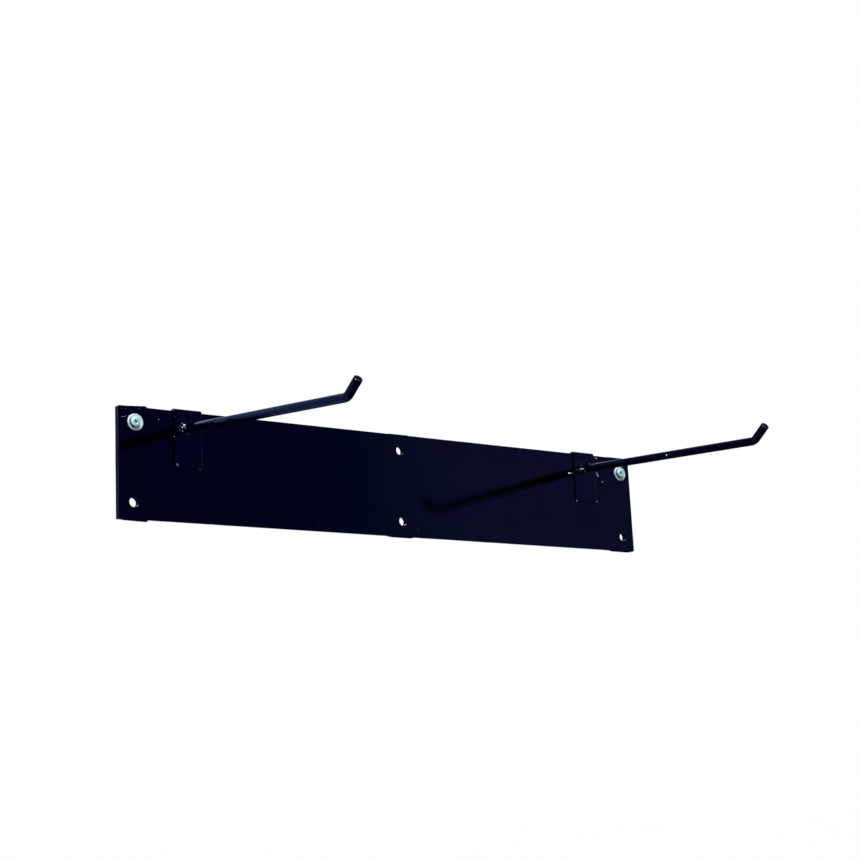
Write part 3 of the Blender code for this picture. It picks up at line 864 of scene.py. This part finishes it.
def screw(name, node, turn, seed):
    """A pan-head screw with a cross recess and a threaded shank."""
    low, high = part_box(node)
    centre = Vector(((low.x + high.x) / 2, 0, (low.z + high.z) / 2))
    front = low.y
    radius = (high.x - low.x) / 2
    height = 2.4 * MM
    back = front + height + 0.25 * MM
    around = 40
    rings = []
    # a shallow crown, from near its middle outwards, then the rounded shoulder and the steep side
    crown, shoulder = 0.30 * MM, 0.75 * MM
    profile = [(0.45 * MM, front), (0.9 * MM, front), (1.4 * MM, front + 0.01 * MM)]
    for i in range(1, 6):
        r = 1.4 * MM + (radius - shoulder - 0.1 * MM - 1.4 * MM) * i / 5
        profile.append((r, front + 0.01 * MM + crown * (i / 5) ** 2))
    profile += arc(
        (radius - 0.1 * MM - shoulder, front + crown + 0.05 * MM + shoulder), shoulder, -math.pi / 2, 0.0, 8
    )
    profile += [
        (radius, back - 0.5 * MM),
        (radius - 0.12 * MM, back - 0.12 * MM),
        (radius - 0.4 * MM, back),
        (3.0 * MM, back),
        (2.45 * MM, back + 0.05 * MM),
        (2.4 * MM, back + 5.0 * MM),
    ]
    for r, y in profile:
        rings.append(
            [
                Vector((r * math.cos(2 * math.pi * k / around), y, r * math.sin(2 * math.pi * k / around)))
                for k in range(around)
            ]
        )
    threads, _ = thread_shank(back + 7.0 * MM, high.y - 0.1 * MM, 1.85 * MM, 2.5 * MM, 2.0 * MM)
    for ring in threads:
        rings.append([Vector((r * math.cos(a), y, r * math.sin(a))) for r, a, y in ring])
    obj = finish_mesh(skin(rings), name, SCREW_ZINC, centre, sharp=50.0)
    # cross recess: four tapering wings round a round socket
    bm = bmesh.new()
    depth, wide, span = 1.5 * MM, 0.62 * MM, 2.45 * MM

    def plus(scale_w, scale_s, y):
        a, b = wide * scale_w, span * scale_s
        flat = [(b, a), (a * 1.5, a * 1.5), (a, b), (-a, b), (-a * 1.5, a * 1.5), (-b, a)]
        flat += [(-b, -a), (-a * 1.5, -a * 1.5), (-a, -b), (a, -b), (a * 1.5, -a * 1.5), (b, -a)]
        c, s = math.cos(turn), math.sin(turn)
        return [Vector((p * c - q * s, y, p * s + q * c)) for p, q in flat]

    rings = [plus(1.08, 1.1, front - 0.4 * MM), plus(1.0, 1.0, front + 0.05 * MM), plus(0.62, 0.5, front + depth)]
    tool_bm = skin(rings)
    bmesh.ops.recalc_face_normals(tool_bm, faces=tool_bm.faces[:])
    tool_mesh = bpy.data.meshes.new("recess_tool")
    tool_bm.to_mesh(tool_mesh)
    tool_bm.free()
    bm.free()
    tool = bpy.data.objects.new("recess_tool", tool_mesh)
    SCENE.collection.objects.link(tool)
    tool.location = centre
    modifier = obj.modifiers.new("recess", "BOOLEAN")
    modifier.operation = "DIFFERENCE"
    modifier.solver = "EXACT"
    modifier.object = tool
    bake(obj)
    obj.data.shade_smooth()
    obj.data.set_sharp_from_angle(angle=math.radians(40))
    bpy.data.objects.remove(tool)

    # painted shade: the head's side wall and its cross recess are darkened
    def painted_shade(co):
        r = math.hypot(co.x, co.z)
        if r > radius - 0.3 * MM and co.y > front + 1.1 * MM:
            return 0.9
        return 0.75 if r < 2.7 * MM and front + 0.15 * MM < co.y < back else 0.0

    return store_wear_and_painted_light(obj, painted_shade)


for column, turn, seed in (("left", 0.5, 1), ("right", 0.15, 4)):
    piece = washer(f"{column}_washer_disc", f"{column}_washer", seed)
    rides(piece, "rack", "zinc_plate", f"{column}_washer")
    piece = screw(f"{column}_pan_screw", f"{column}_screw", turn, seed)
    rides(piece, "rack", "zinc_plate", f"{column}_screw")


# ---------------------------------------------------------------- hooks
def strip_saddle(name, node, seed):
    """The folded strip, with soft arrises and rounded lower corners."""
    low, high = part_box(node)
    thickness = 2.0 * MM
    inner = 0.8 * MM
    outer = inner + thickness
    front, rear = low.y, high.y
    front_in, rear_in = front + thickness, rear - thickness
    # it rests on the rail's edge
    top = high.z - 0.27 * MM
    top_in = top - thickness + 0.10 * MM
    rear_end = 25.0 * MM
    outline = [(front, low.z + (top - 6 * MM - low.z) * i / 14) for i in range(15)]
    outline += arc((front + outer, top - outer), outer, math.pi, math.pi / 2, 12)
    outline += arc((rear - outer, top - outer), outer, math.pi / 2, 0.0, 12)
    outline += [(rear, top - 6 * MM + (rear_end - top + 6 * MM) * i / 5) for i in range(6)]
    outline += [(rear_in, rear_end + (top - 6 * MM - rear_end) * i / 5) for i in range(6)]
    outline += arc((rear_in - inner, top_in - inner), inner, 0.0, math.pi / 2, 6)
    outline += arc((front_in + inner, top_in - inner), inner, math.pi / 2, math.pi, 6)
    outline += [(front_in, top - 6 * MM + (low.z - top + 6 * MM) * i / 14) for i in range(15)]
    width = high.x - low.x
    rings = []
    stations = 12
    for i in range(stations + 1):
        x = low.x + width * i / stations
        rings.append([Vector((x, y, z)) for y, z in outline])
    bm = skin(rings)
    obj = finish_mesh(bm, name, SADDLE_PAINT, sharp=30.0)
    bevel = obj.modifiers.new("arris", "BEVEL")
    bevel.width = 0.45 * MM
    bevel.segments = 4
    bevel.limit_method = "ANGLE"
    bevel.angle_limit = math.radians(50)
    bevel.use_clamp_overlap = True
    bake(obj)
    obj.data.shade_smooth()
    obj.data.set_sharp_from_angle(angle=math.radians(40))
    # hand-cut ends: corners rounded in the face, edge a hair uneven
    for v in obj.data.vertices:
        co = v.co
        foot = max(0.0, 1 - (co.z - low.z) / (1.6 * MM))
        if co.y < (front_in + 0.2 * MM) and foot > 0:
            side = (co.x - (low.x + high.x) / 2) / (width / 2)
            co.z += 0.5 * MM * max(0.0, abs(side) - 0.88) / 0.12 * foot
            co.z += 0.10 * MM * ripple((co.x, 0, 0), 300.0, seed) * foot
        co.x += 0.06 * MM * ripple((0, co.y, co.z), 120.0, seed + 3)

    def wear_and_painted_light(co):
        side = min(high.x - co.x, co.x - low.x)
        end = co.z - low.z if co.y < front_in + 0.3 * MM else 1.0
        fold = max(0.0, 1 - abs(co.z - (top - 1.0 * MM)) / (2.2 * MM)) if co.y < front + 3 * MM else 0.0
        # painted highlight: the right edge gets a wider, paler line for that edge lit by the key from the right;
        # the left edge gets only a little rubbing
        right, reach = (0.92, 1.0 * MM) if co.x > (low.x + high.x) / 2 else (0.36, 0.5 * MM)
        return max(
            right * math.exp(-((side / reach) ** 2)),
            0.40 * math.exp(-((end / (0.6 * MM)) ** 2)),
            0.22 * fold,
        )

    return store_wear_and_painted_light(obj, wear_and_painted_light)


ROD_R = 3.9 * MM
REACH = {"left": 248.5 * MM, "right": 245.2 * MM}
ROD_OFFSET = {"left": -4.0 * MM, "right": -2.5 * MM}
DROOP = {"left": math.radians(5.74), "right": math.radians(4.48)}
LEAN = {"left": math.radians(1.95), "right": math.radians(-0.92)}
TIP_RISE = math.radians(37.0)
TIP_LENGTH = 19.6 * MM
BEND_R = 9.0 * MM


def arm_frame(which):
    """Base point on the saddle's face, and the arm's along, side and up directions."""
    low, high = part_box(f"{which}_saddle")
    base = Vector(((low.x + high.x) / 2 + ROD_OFFSET[which], low.y, 50 * MM - 16.3 * MM))
    droop, lean = DROOP[which], LEAN[which]
    along = Vector(
        (
            math.sin(lean) * math.cos(droop),
            -math.cos(lean) * math.cos(droop),
            -math.sin(droop),
        )
    )
    side = along.cross(Vector((0, 0, 1))).normalized()
    return base, along, side, side.cross(along).normalized()


def round_arm(name, which, seed):
    """A drawn rod bent up at its tip: a trace of a curve along it, flattened in the bend, sawn end with a burr taken off."""
    base, along, side, up = arm_frame(which)
    around = 56
    corner = base + along * (REACH[which] + 0.3 * MM)
    turn = TIP_RISE + DROOP[which]
    cut_back = BEND_R * math.tan(turn / 2)
    centre = corner - along * cut_back + up * BEND_R
    rings = []

    def ring(middle, direction, r, squash=0.0, roll=0.0):
        above = side.cross(direction).normalized()
        points = []
        for k in range(around):
            angle = 2 * math.pi * k / around
            c, s = math.cos(angle), math.sin(angle)
            points.append(
                middle + side * (r * (1 + squash) * c) + above * (r * (1 - squash) * s)
            )
        return points

    straight = (corner - along * cut_back - base).length
    steps = 90
    for i in range(steps + 1):
        s = -0.8 * MM + (straight + 0.8 * MM) * i / steps
        # mill waviness of a few hundredths of a millimetre
        sway = 0.05 * MM * ripple((s, 0, 0), 14.0, seed) * min(1.0, s / 0.02 if s > 0 else 0.0)
        r = ROD_R * (1 + 0.004 * ripple((s, 1, 0), 60.0, seed + 2))
        rings.append(ring(base + along * s + up * sway + side * sway * 0.6, along, r))
    bend_steps = 22
    for i in range(1, bend_steps + 1):
        turn_matrix = Matrix.Rotation(turn * i / bend_steps, 3, side)
        bulge = math.sin(math.pi * i / bend_steps)
        rings.append(
            ring(
                centre - turn_matrix @ (up * BEND_R),
                turn_matrix @ along,
                ROD_R,
                squash=0.045 * bulge,
            )
        )
    tip_direction = Matrix.Rotation(turn, 3, side) @ along
    start = centre - Matrix.Rotation(turn, 3, side) @ (up * BEND_R)
    end = corner + tip_direction * TIP_LENGTH
    length = (end - start).length
    chamfer = 0.65 * MM
    for i in range(1, 13):
        rings.append(ring(start + tip_direction * ((length - chamfer) * i / 12), tip_direction, ROD_R))
    for i in range(1, 5):
        phi = math.pi / 2 * i / 4
        rings.append(
            ring(
                end - tip_direction * chamfer * (1 - math.sin(phi) * 1.0),
                tip_direction,
                ROD_R - chamfer * (1 - math.cos(phi)),
            )
        )
    for r in (2.4, 1.6, 0.8, 0.25):
        rings.append(
            ring(
                end + tip_direction * (0.05 * MM * ripple((r, 0, 0), 3.0, seed)),
                tip_direction,
                r * MM,
            )
        )
    obj = finish_mesh(skin(rings), name, ARM_PAINT, sharp=45.0)
    obj.data.materials.append(ARM_END)
    for face in obj.data.polygons:
        if face.normal.dot(tip_direction) > 0.95 and (end - face.center).dot(tip_direction) < 1 * MM:
            face.material_index = 1

    def wear_and_painted_light(co):
        from_end = (end - co).dot(tip_direction)
        from_axis = (co - end).cross(tip_direction).length
        rim = 0.98 * math.exp(-((from_end / (0.9 * MM)) ** 2) - ((ROD_R - from_axis) / (1.3 * MM)) ** 2)
        lateral = co - (base + along * (co - base).dot(along))
        # the top of the arm is rubbed by what lies on it
        s = (co - base).dot(along)
        top = max(0.0, lateral.normalized().dot(up)) if lateral.length > 1e-6 else 0.0
        rub = 0.15 * top**6 * min(1.0, max(0.0, (s - 0.02) / 0.03))
        bend = 0.34 * max(0.0, 1 - abs(s - (straight + 2 * MM)) / (7 * MM))
        return max(rim, rub, bend * 0.8)

    return store_wear_and_painted_light(obj, wear_and_painted_light)


def arm_weld(name, which, seed):
    """The bead round the rod's base: uneven pools and ripples round it."""
    base, along, side, up = arm_frame(which)
    around, section_steps = 150, 14
    rings = []
    for k in range(around):
        angle = 2 * math.pi * k / around
        out = side * math.cos(angle) + up * math.sin(angle)
        around_noise = ripple((math.cos(angle), math.sin(angle), 0), 1.3, seed)
        fine = ripple((math.cos(angle), math.sin(angle), 1), 5.0, seed + 4)
        phase = angle / (2 * math.pi) * 13
        saw = phase - math.floor(phase)
        leg = (2.75 + 0.75 * around_noise + 0.35 * fine + 0.40 * (1 - saw) ** 1.4) * MM
        high_leg = (2.4 + 0.7 * ripple((math.cos(angle), math.sin(angle), 3), 1.5, seed + 7) + 0.3 * (1 - saw)) * MM
        section = [(ROD_R - 0.5 * MM, -0.4 * MM), (ROD_R - 0.5 * MM, high_leg)]
        for i in range(section_steps + 1):
            phi = math.pi / 2 * i / section_steps
            bulge = 1 + 0.10 * math.sin(2 * phi) + 0.05 * ripple((angle * 3, phi * 3, 0), 1.0, seed + 11)
            section.append(
                (
                    ROD_R - 0.2 * MM + leg * math.sin(phi) * bulge,
                    high_leg * math.cos(phi) * bulge - 0.05 * MM,
                )
            )
        section.append((ROD_R + leg - 0.2 * MM, -0.4 * MM))
        ring = []
        for r, h in section:
            p = base + out * r
            p = p + along * ((base.y - p.y) / along.y)
            ring.append(p + along * h)
        rings.append(ring)
    bm = skin(rings, wrap=True)
    obj = finish_mesh(bm, name, ARM_WELD_PAINT, sharp=70.0)

    def wear_and_painted_light(co):
        s = (co - base).dot(along)
        return 0.35 + 0.4 * max(0.0, min(1.0, s / (3 * MM)))

    return store_wear_and_painted_light(obj, wear_and_painted_light)


def drops(name, places, material, seed):
    """Spatter and dust nibs: small domes sunk in the surface they sit on. places holds (point, outward direction, radius, height)."""
    rng = random.Random(seed)
    bm = bmesh.new()
    for point, outward, radius, height in places:
        outward = Vector(outward).normalized()
        one = outward.orthogonal().normalized()
        two = outward.cross(one)
        spin = rng.random() * math.pi
        one, two = (
            one * math.cos(spin) + two * math.sin(spin),
            two * math.cos(spin) - one * math.sin(spin),
        )
        oval = 0.75 + 0.5 * rng.random()
        made = bmesh.ops.create_icosphere(bm, subdivisions=3, radius=1.0)["verts"]
        for v in made:
            c = v.co.copy()
            c *= 1 + 0.12 * ripple(c, 1.6, seed + radius * 9000)
            v.co = (
                Vector(point)
                + one * (c.x * radius * oval)
                + two * (c.y * radius / oval)
                + outward * (c.z * height)
            )
    obj = finish_mesh(bm, name, material, sharp=0)
    return store_wear_and_painted_light(obj, lambda co: 0.55)


RAIL_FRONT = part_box("rail_plate")[0].y
for which, seed in (("left", 51), ("right", 61)):
    body = f"{which}_hook"
    saddle = strip_saddle(f"{which}_saddle_strip", f"{which}_saddle", seed)
    rides(saddle, body, "hook_paint", f"{which}_saddle")
    arm = round_arm(f"{which}_arm_rod", which, seed + 1)
    rides(arm, body, "hook_paint", f"{which}_arm")
    weld = arm_weld(f"{which}_arm_bead", which, seed + 2)
    rides(weld, body, "hook_paint", f"{which}_arm_weld")


def front_drop(x, z, radius, height=None):
    return ((x * MM, RAIL_FRONT, z * MM), (0, -1, 0), radius * MM, (height or radius * 0.6) * MM)


# ---------------------------------------------------------------- spatter and nibs
def rail_nibs():
    """Specks of dust caught in the paint."""
    rng = random.Random(5)
    return [
        front_drop(rng.uniform(-292, 292), rng.uniform(-46, 46), rng.uniform(0.12, 0.26))
        for _ in range(40)
    ]


def scrape(x, z, radius):
    """Low enough to pass under the sliding saddles, which stand 0.4 mm off the rail."""
    return front_drop(x, z, radius, min(0.30, 0.6 * radius))


def rail_scrapes():
    """Drops of spatter and scrapes on the rail's face."""
    return [
        scrape(-261.0, 40.5, 0.36), scrape(-256.4, 40.9, 0.26),
        scrape(-92.1, 38.3, 0.24), scrape(-33.2, 44.0, 0.34),
        scrape(-97.6, -43.9, 0.24), scrape(17.5, -44.1, 0.34),
        scrape(16.5, -41.7, 0.26), scrape(139.1, -23.5, 0.26),
        scrape(261.4, 22.6, 0.55), scrape(254.0, 32.0, 0.75),
        scrape(254.9, 29.9, 1.05), scrape(255.9, 28.3, 0.80), scrape(254.2, 34.0, 0.35),
        scrape(255.4, 47.3, 0.75), scrape(254.2, 48.0, 0.50),
        scrape(-296.8, 47.5, 0.30), scrape(-292.7, 47.2, 0.34),
        scrape(-279.7, 48.0, 0.30), scrape(-288.0, 46.3, 0.22),
    ]


def weld_string():
    """A dragged string of spatter beside the right saddle's edge."""
    return [
        front_drop(215.2 + 1.05 * k, 28.25 + 0.08 * k, 0.62 + 0.10 * (k % 2), 0.33) for k in range(6)
    ]


def sliver(name, start, end, width, height, seed):
    """A thin raised streak on the rail's face: a dragged drop, or the curl beside a scratch."""
    rings, steps = [], 26
    for i in range(steps + 1):
        t = i / steps
        x = start[0] + (end[0] - start[0]) * t
        z = start[1] + (end[1] - start[1]) * t + 0.25 * ripple((t * 3, 0, 0), 1.0, seed)
        swell = max(0.04, math.sin(math.pi * t) ** 0.5) * (0.75 + 0.5 * ripple((t * 5, 1, 0), 1.0, seed))
        w, h = width * swell, height * swell
        rings.append(
            [
                Vector(
                    (
                        x * MM,
                        RAIL_FRONT + 0.1 * MM - (h + 0.1) * MM * max(0.0, math.sin(math.pi * k / 8)),
                        (z - w * math.cos(math.pi * k / 8)) * MM,
                    )
                )
                for k in range(9)
            ]
        )
    return store_wear_and_painted_light(finish_mesh(skin(rings), name, SCRAPED, sharp=0), lambda co: 0.5)


nibs = drops("rail_nibs", rail_nibs(), RAIL_PAINT, 71)
rides(nibs, "rack", "rail_paint")
scrapes = drops("rail_scrapes", rail_scrapes(), SCRAPED, 73)
rides(scrapes, "rack", "rail_paint")
streak = sliver("left_end_scratch", (-297.8, 39.4), (-291.6, 40.9), 0.30, 0.10, 12)
rides(streak, "rack", "rail_paint")
string = drops("right_weld_string", weld_string(), SPATTER, 75)
rides(string, "rack", "rail_paint")

# drops of bright spatter on the strip round each rod, as (sideways, upwards, out from the strip, size) in mm
BRIGHT = {
    "left": (
        (-5.4, 1.5, 1.7, 0.45), (1.9, 4.0, 2.2, 0.50), (-3.2, -3.6, 1.8, 0.55),
        (-6.6, 0.2, 0.6, 0.35), (-10.3, -7.9, 0.1, 0.50), (-7.8, -33.0, 0.1, 0.95),
        (-7.1, -34.2, 0.1, 0.60), (15.1, -36.2, 0.0, 0.45), (-4.9, 8.2, 0.1, 0.22),
        (6.1, 7.4, 0.1, 0.26), (-9.4, 10.2, 0.1, 0.22),
    ),
    "right": (
        (-4.0, -4.4, 1.4, 0.55), (3.0, -5.2, 1.5, 0.50), (-5.6, 1.4, 1.4, 0.40),
        (9.5, 6.2, 0.1, 0.30), (-11.6, -34.7, 0.0, 0.65), (16.3, -33.6, 0.0, 0.55),
        (-3.1, -2.5, 0.1, 0.25),
    ),
}
# and on the weld and the rod, as (along the rod in mm, degrees round it, distance from its axis, size)
ON_ROD = {
    "left": (
        (4.4, 36, 3.9, 0.95), (8.0, 358, 3.8, 0.90), (1.2, 342, 5.4, 0.95),
        (2.5, 320, 4.5, 0.85), (6.5, 48, 3.8, 0.55), (0.9, 34, 5.6, 0.65),
        (3.6, 5, 4.0, 0.60),
    ),
    "right": (
        (2.3, 346, 5.6, 1.45), (3.4, 352, 4.6, 0.95), (5.2, 350, 4.2, 0.95),
        (5.7, 300, 4.1, 0.90), (6.5, 318, 3.9, 0.65), (130.5, 352, 3.7, 1.25),
    ),
}

for which, seed in (("left", 81), ("right", 91)):
    base, along, side, up = arm_frame(which)
    low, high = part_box(f"{which}_saddle")
    rng = random.Random(seed)
    places = []
    for _ in range(26):
        angle = rng.uniform(0, 2 * math.pi)
        far = rng.uniform(6.4, 11.5) * MM
        x, z = base.x + far * math.cos(angle), base.z + far * math.sin(angle)
        if low.x + 1 * MM < x < high.x - 1 * MM and low.z + 1 * MM < z < high.z - 4 * MM:
            size = rng.uniform(0.18, 0.50) * MM
            places.append(((x, low.y, z), (0, -1, 0), size, size * rng.uniform(0.5, 0.9)))
    # drops on the bead and on the rod just past it
    for _ in range(18):
        angle = rng.uniform(0, 2 * math.pi)
        out = side * math.cos(angle) + up * math.sin(angle)
        s = rng.uniform(0.6, 2.4) * MM
        size = rng.uniform(0.3, 0.75) * MM
        places.append((base + along * s + out * (ROD_R + 1.2 * MM), out, size, size * 0.9))
    for _ in range(8):
        angle = rng.uniform(0, 2 * math.pi)
        out = side * math.cos(angle) + up * math.sin(angle)
        s = rng.uniform(4.0, 14.0) * MM
        size = rng.uniform(0.15, 0.4) * MM
        places.append((base + along * s + out * ROD_R, out, size, size * 0.8))
    spatter = drops(f"{which}_spatter", places, ARM_WELD_PAINT, seed)
    rides(spatter, f"{which}_hook", "hook_paint")
    bright = [
        (
            (base.x + dx * MM, low.y - out * MM, base.z + dz * MM),
            (dx * 0.12, -1.0, dz * 0.12) if out > 0.3 else (0, -1, 0),
            size * MM,
            size * 0.8 * MM,
        )
        for dx, dz, out, size in BRIGHT[which]
    ]
    for s, degrees, r, size in ON_ROD[which]:
        angle = math.radians(degrees)
        out = side * math.cos(angle) + up * math.sin(angle)
        bright.append((base + along * s * MM + out * r * MM, out, size * MM, size * 0.85 * MM))
    spatter = drops(f"{which}_bright_spatter", bright, SPATTER, seed + 3)
    rides(spatter, f"{which}_hook", "hook_paint")


# ---------------------------------------------------------------- stage and light
def stage_plane(name, corners, material):
    mesh = bpy.data.meshes.new(name)
    mesh.from_pydata([Vector(c) for c in corners], [], [(0, 1, 2, 3)])
    mesh.materials.append(material)
    obj = bpy.data.objects.new(name, mesh)
    SCENE.collection.objects.link(obj)
    obj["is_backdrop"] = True
    return obj


def glow_material(name, color, strength):
    material = new_material(name)
    n = Nodes(material)
    soft = n.noise(n.place(), 0.8, 2.0, 0.5)
    tint = n.mix(soft, tuple(c * 0.99 for c in color), color)
    shader = n.add("ShaderNodeEmission", {"Color": tint, "Strength": strength}, out=0)
    n.add("ShaderNodeOutputMaterial", {"Surface": shader})
    return material


# the white wall that the rack hangs on lights and mirrors in it, but stays out of the picture,
# so that the rack can be seen from behind too
def wall_material():
    """A pale wall in bluish shade, brighter and more neutral above the rail than beside and below it."""
    material = new_material("wall_shade")
    n = Nodes(material)
    spot = n.place()
    height = n.add("ShaderNodeSeparateXYZ", {"Vector": spot}, out="Z")
    along = n.add("ShaderNodeSeparateXYZ", {"Vector": spot}, out="X")
    cloud = n.math("MULTIPLY", n.math("SUBTRACT", n.noise(spot, 2.5, 2.0, 0.5), 0.5), 0.02)
    height = n.math("ADD", height, cloud)
    # a light band just above the rail beside each hook
    by_left = n.math("MULTIPLY", n.span(along, -0.255, -0.235), n.span(along, -0.150, -0.175))
    by_right = n.math("MULTIPLY", n.span(along, 0.230, 0.245), n.span(along, 0.335, 0.305))
    band = n.math("MULTIPLY", n.math("ADD", by_left, by_right), n.span(height, 0.076, 0.054))
    above = n.mix(band, (0.150, 0.235, 0.480), (0.95, 1.00, 1.15))
    tint = n.mix(n.span(height, 0.034, 0.042), (0.080, 0.150, 0.370), above)
    # darker to the right, above the middle, below the right half, far to the upper left,
    # and in the strip of shade right under the rail
    right = n.math("MULTIPLY", n.span(along, 0.300, 0.345), n.math("SUBTRACT", 1.0, n.math("MULTIPLY", band, 0.8)))
    middle = n.math("MULTIPLY", n.span(along, -0.100, -0.030), n.span(height, 0.056, 0.068))
    middle = n.math("MULTIPLY", middle, n.span(along, 0.240, 0.220))
    under = n.math("MULTIPLY", n.span(along, -0.060, 0.030), n.span(height, -0.040, -0.060))
    strip = n.math("MULTIPLY", n.span(height, -0.045, -0.049), n.span(height, -0.062, -0.055))
    dark = n.math("MAXIMUM", n.math("MAXIMUM", right, middle), n.math("MAXIMUM", under, strip))
    shade = n.mix(dark, (1.0, 1.0, 1.0), (0.13, 0.17, 0.17))
    left = n.math("MULTIPLY", n.span(along, -0.340, -0.380), n.span(height, 0.078, 0.092))
    shade = n.mix(left, shade, (0.35, 0.35, 0.40))
    tint = n.vec("MULTIPLY", tint, shade)
    shader = n.add("ShaderNodeEmission", {"Color": tint, "Strength": 1.0}, out=0)
    n.add("ShaderNodeOutputMaterial", {"Surface": shader})
    return material


wall = stage_plane(
    "wall_glow",
    ((-2.2, -0.0002, -1.6), (2.2, -0.0002, -1.6), (2.2, -0.0002, 1.6), (-2.2, -0.0002, 1.6)),
    wall_material(),
)
wall.visible_camera = False


floor = stage_plane(
    "floor",
    ((-80, -80, -1.5), (80, -80, -1.5), (80, 80, -1.5), (-80, 80, -1.5)),
    glow_material("floor_pale", (1.0, 1.0, 1.0), 1.0),
)
floor.visible_diffuse = False
floor.visible_glossy = False
floor.visible_shadow = False

KEY_FROM = Vector((0.6080, -0.7856, 0.1150))
GLINT_FROM = Vector((-0.20, -0.55, 0.81))


def sun(name, toward, strength, angle, diffuse=True, glossy=True):
    data = bpy.data.lights.new(name, "SUN")
    data.energy = strength
    data.angle = math.radians(angle)
    obj = bpy.data.objects.new(name, data)
    obj.rotation_euler = toward.to_track_quat("Z", "Y").to_euler()
    SCENE.collection.objects.link(obj)
    obj.visible_diffuse = diffuse
    obj.visible_glossy = glossy
    return obj


def soft_light(name, place, target, size, power, diffuse=True, glossy=True):
    data = bpy.data.lights.new(name, "AREA")
    data.shape = "DISK"
    data.size = size
    data.energy = power
    obj = bpy.data.objects.new(name, data)
    obj.location = place
    obj.rotation_euler = (Vector(place) - Vector(target)).to_track_quat("Z", "Y").to_euler()
    SCENE.collection.objects.link(obj)
    obj.visible_diffuse = diffuse
    obj.visible_glossy = glossy
    return obj


sun("key_soft", KEY_FROM, 1.9, 2.2, diffuse=True, glossy=False)
sun("upper_glint", GLINT_FROM, 7.5, 3.0, diffuse=False, glossy=True)
sun("left_fill", Vector((-0.92, -0.25, 0.30)), 0.45, 12.0, diffuse=True, glossy=False)
soft_light("back_fill", (0.4, 2.4, 1.2), (0, 0, 0), 1.2, 12.0)

world = bpy.data.worlds.new("studio")
SCENE.world = world
world.use_nodes = True
tree = world.node_tree
tree.nodes.clear()
path = tree.nodes.new("ShaderNodeLightPath")
seen = tree.nodes.new("ShaderNodeBackground")
seen.inputs["Color"].default_value = (1.0, 1.0, 1.0, 1.0)
seen.inputs["Strength"].default_value = 1.0
fill = tree.nodes.new("ShaderNodeBackground")
fill.inputs["Color"].default_value = (0.92, 0.96, 1.0, 1.0)
fill.inputs["Strength"].default_value = 0.008
choose = tree.nodes.new("ShaderNodeMixShader")
output = tree.nodes.new("ShaderNodeOutputWorld")
tree.links.new(path.outputs["Is Camera Ray"], choose.inputs["Fac"])
tree.links.new(fill.outputs[0], choose.inputs[1])
tree.links.new(seen.outputs[0], choose.inputs[2])
tree.links.new(choose.outputs[0], output.inputs["Surface"])

low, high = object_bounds()
